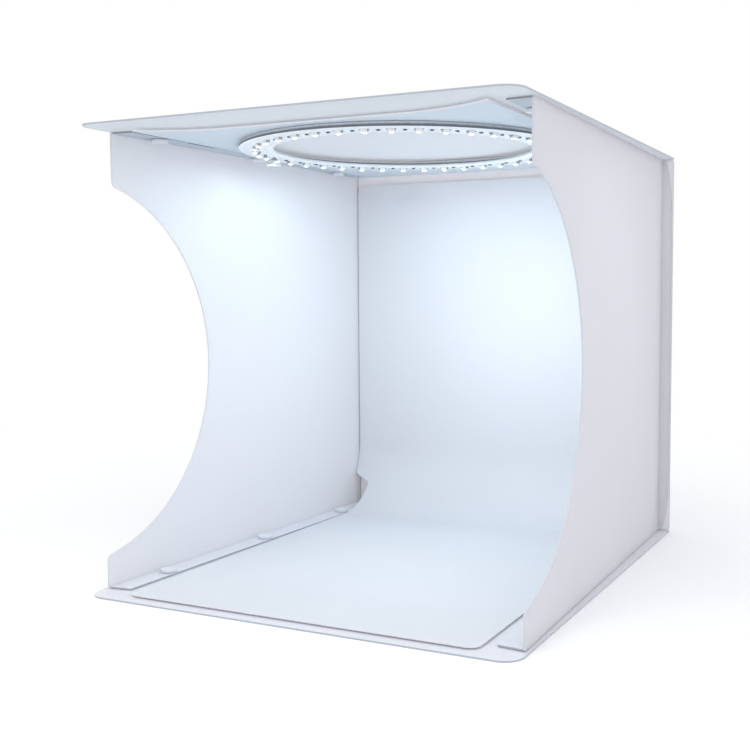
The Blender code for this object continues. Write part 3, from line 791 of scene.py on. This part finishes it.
class LIGHTTENT_OT_backdrop(TentOperator, bpy.types.Operator):
    """Hangs the smooth backdrop, which sweeps from the back over the floor, on its pads"""

    bl_idname = "light_tent.backdrop"
    bl_label = "Backdrop"

    def execute(self, context):
        sizes = self.sizes
        box_low, box_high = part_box("backdrop_sheet")
        floor = box_low.z + sizes.drop_thickness
        bend_y = box_high.y - sizes.drop_thickness - sizes.drop_curve
        bend_z = floor + sizes.drop_curve
        lone()
        bpy.ops.mesh.primitive_plane_add(size=1, location=(0, (box_low.y + bend_y) / 2, floor))
        sheet = scaled("backdrop_sweep", (2 * sizes.drop_narrow, bend_y - box_low.y, 1))
        with shaping(sheet):
            pick(sheet, lambda middle, _: middle.y > bend_y - NEAR, "EDGE")
            bpy.ops.mesh.spin(steps=SWEEP_STEPS, angle=-pi / 2, center=(0, bend_y, bend_z), axis=(1, 0, 0))
            pick(sheet, lambda middle, way: abs(way.x) > NEAR and middle.z > bend_z - NEAR, "EDGE")
            extrude((0, 0, box_high.z - bend_z))
            bpy.ops.mesh.select_all(action="SELECT")
            bpy.ops.mesh.remove_doubles(threshold=DOUBLED)
            self.widen(sheet, floor, bend_z, box_high.x)
            pick(sheet, lambda place, _: place.y < box_low.y + NEAR or place.z > box_high.z - NEAR, "VERT")
            bpy.ops.mesh.bevel(affect="VERTICES", offset=sizes.drop_corner, segments=8)
            bpy.ops.mesh.select_all(action="SELECT")
            bpy.ops.mesh.normals_make_consistent(inside=False)
        modify(sheet, "SOLIDIFY", thickness=sizes.drop_thickness, offset=-1, use_even_offset=True)
        smooth(sheet, 30)
        hand_over(sheet, "back", "backdrop", backdrop_finish(self.colours), "backdrop_sheet")
        pad = woven_finish("pad_white", shade(214, 214, 214), pitch=0.0006)
        cover(pad, "left_backdrop_pad", "right_backdrop_pad")
        return {"FINISHED"}

    def widen(self, sheet, floor, bend_z, wide):
        """Widens the rows of the sweep above the flaps, over a shoulder."""
        sizes = self.sizes
        start = acos(1 - (sizes.shoulder_height - floor) / sizes.drop_curve)
        run = sizes.shoulder_rise / sizes.drop_curve
        rows = {round(point.co.z, 7) for point in bmesh.from_edit_mesh(sheet.data).verts}
        for height in sorted(rows):
            turn = acos(min(1, max(0, (bend_z - height) / sizes.drop_curve)))
            share = min(1, max(0, (turn - start) / run))
            if share:
                grown = 1 + (wide / sizes.drop_narrow - 1) * (1 - cos(pi * share)) / 2
                pick(sheet, lambda place, _: abs(place.z - height) < 2 * DOUBLED, "VERT")
                bpy.ops.transform.resize(value=(grown, 1, 1), center_override=(0, 0, 0))


class LIGHTTENT_OT_ring_board(TentOperator, bpy.types.Operator):
    """Makes the ring-shaped circuit board, and finishes its foam and the tape above it"""

    bl_idname = "light_tent.ring_board"
    bl_label = "Ring board"

    def execute(self, context):
        sizes = self.sizes
        outer, _, top = high("ring_board")
        x, y, _ = middle_of("ring_board")
        lone()
        bpy.ops.mesh.primitive_circle_add(
            vertices=RING_FACES, radius=outer, fill_type="NGON", location=(x, y, top))
        ring = settle(named("ring_circuit"))
        with shaping(ring):
            bpy.ops.mesh.select_all(action="SELECT")
            bpy.ops.mesh.inset(thickness=sizes.ring_width)
            pick(ring, lambda place, _: hypot(place.x - x, place.y - y) < NEAR)
            bpy.ops.mesh.delete(type="FACE")
            bpy.ops.mesh.select_all(action="SELECT")
            extrude((0, 0, -sizes.ring_board))
        outward(ring)
        soften(ring, width=0.00012, segments=2, angle=60)
        hand_over(ring, "roof", "board", board_finish(sizes, self.colours), "ring_board")
        cover(foam_finish(self.colours), "ring_foam")
        tape = woven_finish("tape_white", shade(222, 220, 210), pitch=0.0009)
        cover(tape, "left_board_tape", "right_board_tape")
        return {"FINISHED"}


class LIGHTTENT_OT_lamps(TentOperator, bpy.types.Operator):
    """Solders the lamps and resistors under the ring board, and lights them"""

    bl_idname = "light_tent.lamps"
    bl_label = "Lamps"

    def execute(self, context):
        colours, count = self.colours, self.sizes.lamp_count
        under = high("ring_board").z - self.sizes.ring_board
        solder = metal_finish("solder_bright", colours.solder, roughness=0.28, streaks=(1, 1, 4))
        at_lamps, between = round_ring(0.0, count), round_ring(0.5, count)
        for make, places, name, slot, material in (
            (self.housing, at_lamps, "lamp_housings", "board", housing_finish(colours)),
            (self.lens, at_lamps, "lamp_lenses", "board", phosphor_finish(colours)),
            (self.legs, at_lamps, "lamp_legs", "steel", solder),
            (self.resistor, between, "resistor_bodies", "board", ceramic_finish(colours)),
            (self.resistor_caps, between, "resistor_caps", "steel", solder),
        ):
            hand_over(joined(copies(make(under), places), name), "roof", slot, material)
        self.light(under)
        return {"FINISHED"}

    def light(self, under):
        """Small panels just under the ring, and one soft light for what the walls scatter inside the tent."""
        below = under - self.sizes.lamp_height - RING_GLOW_DROP
        down = Matrix.Translation((self.sizes.lamp_circle, 0, below))
        for number, place in enumerate(round_ring(0.5, RING_GLOWS), 1):
            panel = self.glow(f"ring_glow_{number}", "AREA", place @ down, RING_GLOW_POWER, self.colours.glow)
            panel.data.size = RING_GLOW_SIZE
        place = Matrix.Translation(TENT_GLOW_PLACE)
        scattered = self.glow("tent_glow", "POINT", place, TENT_GLOW_POWER, shade(238, 245, 252))
        scattered.data.shadow_soft_size = TENT_GLOW_RADIUS

    def glow(self, name, kind, place, power, tint):
        """A light inside the tent that is felt and not seen, and goes up with the roof."""
        bpy.ops.object.light_add(type=kind)
        glow = bpy.context.active_object
        glow.name = name
        glow.data.energy = power
        glow.data.color = tint
        glow.visible_camera = False
        glow.visible_glossy = False
        glow.matrix_world = place
        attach(glow, "roof")
        return glow

    def housing(self, under):
        """White box of a lamp with a round well in its lower face."""
        sizes = self.sizes
        body = block("housing", (sizes.lamp_circle, 0, under - sizes.lamp_height / 2),
                     (sizes.lamp_breadth, sizes.lamp_length, sizes.lamp_height))
        lone()
        bpy.ops.mesh.primitive_cone_add(
            vertices=16, radius1=sizes.lamp_breadth * WELL_MOUTH, radius2=sizes.lamp_breadth * WELL_FLOOR,
            depth=WELL_CUT, location=(sizes.lamp_circle, 0, under - sizes.lamp_height + WELL_RISE))
        well = named("well")
        modify(body, "BOOLEAN", operation="DIFFERENCE", solver="EXACT", object=well)
        bpy.data.objects.remove(well)
        soften(body, width=0.00012, segments=2, angle=50)
        return body

    def lens(self, under):
        """Filling of a lamp's well, slightly domed."""
        sizes = self.sizes
        middle = (sizes.lamp_circle, 0, under - sizes.lamp_height + LENS_RISE)
        lone()
        bpy.ops.mesh.primitive_uv_sphere_add(
            segments=16, ring_count=8, radius=sizes.lamp_breadth * LENS_RADIUS, location=middle)
        lens = named("lens")
        with shaping(lens):
            bpy.ops.mesh.select_all(action="SELECT")
            bpy.ops.transform.resize(value=(1, 1, LENS_FLATNESS), center_override=middle)
        smooth(lens, 60)
        return settle(lens)

    def legs(self, under):
        """The two bent metal ends of a lamp, each in its bead of solder."""
        sizes = self.sizes
        parts = []
        for way in (-1, 1):
            end = way * sizes.lamp_length / 2
            parts.append(block("leg", (sizes.lamp_circle, end + way * LEG[1] / 2, under - LEG[2] / 2), LEG))
            bead = block("bead", (sizes.lamp_circle, end + way * BEAD_OUT, under - BEAD[2] / 2), BEAD)
            with shaping(bead):
                pick(bead, lambda middle, _: (middle.z < under - BEAD[2] + NEAR / 4
                                              and abs(middle.y) > abs(end) + BEAD_OUT + NEAR / 2), "EDGE")
                bpy.ops.mesh.bevel(offset=BEAD_ROUND, segments=3)
            parts.append(bead)
        legs = joined(parts, "legs")
        soften(legs, width=0.00004, segments=1, angle=50)
        return legs

    def resistor(self, under):
        """Dark body of a chip resistor."""
        radius = self.sizes.lamp_circle - self.sizes.resistor_in
        body = block("resistor", (radius, 0, under - RESISTOR_DROP), RESISTOR)
        soften(body, width=0.00006, segments=1, angle=50)
        return body

    def resistor_caps(self, under):
        """The two metal ends of a chip resistor."""
        radius = self.sizes.lamp_circle - self.sizes.resistor_in
        caps = [block("cap", (radius, way * CAP_OUT, under - RESISTOR_DROP), CAP) for way in (-1, 1)]
        both = joined(caps, "caps")
        soften(both, width=0.00008, segments=2, angle=50)
        return both


class LIGHTTENT_OT_inlet(TentOperator, bpy.types.Operator):
    """Makes the low-voltage inlet at the left end of the ring, and finishes its pins"""

    bl_idname = "light_tent.inlet"
    bl_label = "Inlet"

    def execute(self, context):
        box_low, box_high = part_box("inlet_socket")
        shell = block("inlet_shell", (box_low + box_high) / 2, box_high - box_low)
        with shaping(shell):
            pick(shell, lambda _, normal: normal.x < -0.9)
            bpy.ops.mesh.inset(thickness=INLET_WALL)
            extrude((INLET_RECESS, 0, 0))
        outward(shell)
        soften(shell, width=0.00018, segments=2, angle=50)
        white = moulded_finish("socket_white", shade(214, 220, 226), roughness=0.38)
        hand_over(shell, "roof", "socket", white, "inlet_socket")
        pin = metal_finish("pin_brass", shade(214, 178, 104), roughness=0.22, streaks=(0.2, 1, 1))
        cover(pin, "inlet_pin_front", "inlet_pin_rear")
        return {"FINISHED"}


class LIGHTTENT_OT_fastenings(TentOperator, bpy.types.Operator):
    """Makes the cups of the flaps' magnets, and finishes the magnets and steel discs"""

    bl_idname = "light_tent.fastenings"
    bl_label = "Fastenings"

    def execute(self, context):
        steel = metal_finish("steel_plated", shade(196, 198, 202), roughness=0.30, streaks=(1, 0.15, 1))
        nickel = metal_finish("magnet_nickel", shade(206, 205, 200), roughness=0.18, streaks=(1, 1, 1))
        plastic = moulded_finish("cup_white", self.colours.cup, roughness=0.30)
        for side, _ in SIDES:
            for number in NUMBERS:
                cover(steel, f"{side}_base_disc_{number}", f"{side}_roof_disc_{number}")
                for level, toward in LEVELS:
                    cover(nickel, f"{side}_{level}_magnet_{number}")
                    self.cup(f"{side}_{level}", number, toward, plastic)
        return {"FINISHED"}

    def cup(self, flap, number, toward, material):
        """A round cup with a rolled rim, hollow towards its flap, which lies up or down from it."""
        node = f"{flap}_magnet_cup_{number}"
        cup_low, cup_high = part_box(node)
        deep = cup_high.z - cup_low.z
        lone()
        bpy.ops.mesh.primitive_cylinder_add(
            vertices=CUP_FACES, radius=(cup_high.y - cup_low.y) / 2, depth=deep,
            location=(cup_low + cup_high) / 2)
        cup = settle(named(f"{flap}_cup_{number}"))
        with shaping(cup):
            pick(cup, lambda _, normal: normal.z * toward > 0.9)
            bpy.ops.mesh.inset(thickness=CUP_RIM)
            extrude((0, 0, -toward * (deep - CUP_FLOOR)))
            pick(cup, lambda _, normal: normal.z * toward < -0.9)
            bpy.ops.mesh.inset(thickness=DISH_IN)
            extrude((0, 0, toward * DISH_DEPTH))
        outward(cup)
        soften(cup, width=0.00022, segments=3, angle=50)
        hand_over(cup, f"{flap}_flap_body", "cup", material, node)


class LIGHTTENT_OT_stage(TentOperator, bpy.types.Operator):
    """Sets up the camera, the pale floor, the even light and the soft lamps"""

    bl_idname = "light_tent.stage"
    bl_label = "Stage"

    def execute(self, context):
        self.camera(context.scene)
        self.floor()
        self.world(context.scene)
        for lamp in LAMPS:
            self.lamp(*lamp)
        context.scene.view_settings.view_transform = "Standard"
        return {"FINISHED"}

    def camera(self, scene):
        """The camera at the photograph's angle."""
        forward = Vector((-sin(YAW) * cos(PITCH), cos(YAW) * cos(PITCH), sin(PITCH)))
        right = Vector((cos(YAW), sin(YAW), 0))
        upward = right.cross(forward)
        rolled = right * cos(ROLL) + upward * sin(ROLL)
        raised = upward * cos(ROLL) - right * sin(ROLL)
        bpy.ops.object.camera_add()
        camera = bpy.context.active_object
        camera.name = "camera"
        camera.data.sensor_width = SENSOR
        camera.data.lens = FOCAL * SENSOR / PHOTO_SIDE
        camera.data.shift_x = (PHOTO_SIDE / 2 - CENTRE[0]) / PHOTO_SIDE
        camera.data.shift_y = (CENTRE[1] - PHOTO_SIDE / 2) / PHOTO_SIDE
        camera.data.clip_start = 0.01
        turn = Matrix((rolled, raised, -forward)).transposed().to_4x4()
        camera.matrix_world = Matrix.Translation(EYE) @ turn
        scene.camera = camera

    def floor(self):
        """A wide pale floor that keeps the tent's soft shadow and, for the camera, fades to white."""
        lone()
        bpy.ops.mesh.primitive_plane_add(size=FLOOR_SIZE, location=(0, 0, 0))
        floor = named("studio_floor")
        finish = Finish("studio_floor")
        tint = finish.noise(scale=3, detail=2)
        finish.set(Base_Color=finish.mix(tint, shade(252, 252, 253), shade(254, 254, 254)), Roughness=0.9)
        x, y, _ = finish.axes(finish.place)
        far = ((x * x + y * y) ** 0.5).ramp(*FLOOR_FADE)
        seen = finish.node("ShaderNodeLightPath", output="Is Camera Ray")
        finish.mix_shader(far * seen, "ShaderNodeEmission", Strength=1.0)
        floor.data.materials.append(finish.material)

    def world(self, scene):
        """Even soft light, and plain white where the camera, gloss or glass sees past the floor."""
        scene.world = bpy.data.worlds.new("studio_world")
        sky = Nodes(scene.world)
        paths = sky.node("ShaderNodeLightPath", output=None).outputs
        seen, gloss, glass = (
            Value(sky, paths[f"Is {kind} Ray"]) for kind in ("Camera", "Glossy", "Transmission"))
        soft = sky.node("ShaderNodeBackground", {}, {"Color": SKY, "Strength": SKY_STRENGTH})
        white = sky.node("ShaderNodeBackground", {}, {"Color": (1, 1, 1), "Strength": 1.0})
        mixed = sky.mixed(seen.most(gloss).most(glass), soft, white)
        sky.node("ShaderNodeOutputWorld", {}, {"Surface": mixed}, None)

    def lamp(self, name, place, size, power, tint):
        """A large soft lamp turned to the tent."""
        bpy.ops.object.light_add(type="AREA", location=place)
        lamp = bpy.context.active_object
        lamp.name = name
        lamp.data.size = size
        lamp.data.energy = power
        lamp.data.color = tint
        lamp.rotation_euler = (Vector(AIM) - Vector(place)).to_track_quat("-Z", "Y").to_euler()


class LIGHTTENT_PT_panel(bpy.types.Panel):
    """Lists the light tent's pieces, sizes and colours in the sidebar"""

    bl_idname = "LIGHTTENT_PT_panel"
    bl_label = "Light tent"
    bl_space_type = "VIEW_3D"
    bl_region_type = "UI"
    bl_category = "Light tent"

    def draw(self, context):
        for operator in OPERATORS:
            self.layout.operator(operator.bl_idname)
        for group in (context.scene.light_tent_sizes, context.scene.light_tent_colours):
            box = self.layout.box()
            for name in group.__annotations__:
                box.prop(group, name)


OPERATORS = (
    LIGHTTENT_OT_stage,
    LIGHTTENT_OT_sheets,
    LIGHTTENT_OT_creases,
    LIGHTTENT_OT_backdrop,
    LIGHTTENT_OT_ring_board,
    LIGHTTENT_OT_lamps,
    LIGHTTENT_OT_inlet,
    LIGHTTENT_OT_fastenings,
)
CLASSES = (LightTentSizes, LightTentColours, *OPERATORS, LIGHTTENT_PT_panel)


def register():
    """Registers the classes and hangs the sizes and colours on the scene."""
    for kind in CLASSES:
        bpy.utils.register_class(kind)
    bpy.types.Scene.light_tent_sizes = PointerProperty(type=LightTentSizes)
    bpy.types.Scene.light_tent_colours = PointerProperty(type=LightTentColours)


def unregister():
    """Takes back what register did."""
    del bpy.types.Scene.light_tent_colours
    del bpy.types.Scene.light_tent_sizes
    for kind in reversed(CLASSES):
        bpy.utils.unregister_class(kind)


def main():
    """Calls the operators in order."""
    register()
    for operator in OPERATORS:
        getattr(bpy.ops.light_tent, operator.bl_idname.split(".")[1])()


if __name__ == "__main__":
    main()
